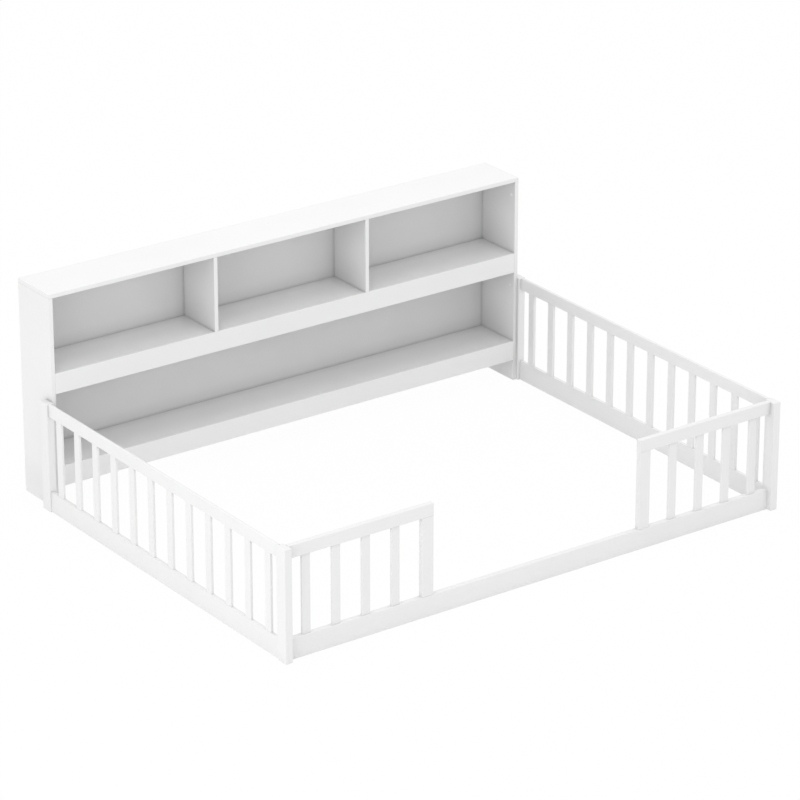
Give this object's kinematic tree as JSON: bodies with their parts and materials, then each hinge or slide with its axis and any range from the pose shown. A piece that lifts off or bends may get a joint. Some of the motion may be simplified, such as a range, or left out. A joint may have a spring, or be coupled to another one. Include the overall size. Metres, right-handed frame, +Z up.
{
  "type": "bookcase headboard bed",
  "caption": "Low floor bed frame: a long bookcase with open cubbies along one side and a slatted fence with a doorway round the mattress space.",
  "frame": {"origin": "on the floor, under the middle of the whole bed", "axes": "+X along the bookcase, to the right when it is seen from the doorway; +Y from the doorway towards the bookcase; +Z up"},
  "size_m": [2.036, 1.64, 0.79],
  "materials": {
    "white_board": "satin white finish on engineered board",
    "white_timber": "satin white paint on solid timber",
    "white_backing": "matt white facing on thin fibreboard",
    "dowel_wood": "bare beech",
    "cam_metal": "plated die casting",
    "fixing_steel": "zinc plated steel",
    "pin_steel": "plain bright steel"
  },
  "bodies": {
    "root": {"back_panel": "white_backing", "back_pins": "pin_steel", "cam_bolts": "fixing_steel", "cam_locks": "cam_metal", "front_bottom_rail": "white_timber", "front_left_post": "white_timber", "front_left_slat_1": "white_timber", "front_left_slat_2": "white_timber", "front_left_slat_3": "white_timber", "front_left_slat_4": "white_timber", "front_left_top_rail": "white_timber", "front_right_post": "white_timber", "front_right_slat_1": "white_timber", "front_right_slat_2": "white_timber", "front_right_slat_3": "white_timber", "front_right_slat_4": "white_timber", "front_right_top_rail": "white_timber", "left_bottom_rail": "white_timber", "left_divider": "white_board", "left_door_stile": "white_timber", "left_side_panel": "white_board", "left_slat_01": "white_timber", "left_slat_02": "white_timber", "left_slat_03": "white_timber", "left_slat_04": "white_timber", "left_slat_05": "white_timber", "left_slat_06": "white_timber", "left_slat_07": "white_timber", "left_slat_08": "white_timber", "left_slat_09": "white_timber", "left_slat_10": "white_timber", "left_slat_11": "white_timber", "left_slat_12": "white_timber", "left_top_rail": "white_timber", "lower_fascia": "white_board", "lower_shelf": "white_board", "middle_shelf": "white_board", "post_screws": "fixing_steel", "rear_left_post": "white_timber", "rear_right_post": "white_timber", "right_bottom_rail": "white_timber", "right_divider": "white_board", "right_door_stile": "white_timber", "right_side_panel": "white_board", "right_slat_01": "white_timber", "right_slat_02": "white_timber", "right_slat_03": "white_timber", "right_slat_04": "white_timber", "right_slat_05": "white_timber", "right_slat_06": "white_timber", "right_slat_07": "white_timber", "right_slat_08": "white_timber", "right_slat_09": "white_timber", "right_slat_10": "white_timber", "right_slat_11": "white_timber", "right_slat_12": "white_timber", "right_top_rail": "white_timber", "top_panel": "white_board", "upper_fascia": "white_board", "wooden_dowels": "dowel_wood"}
  },
  "joints": []
}
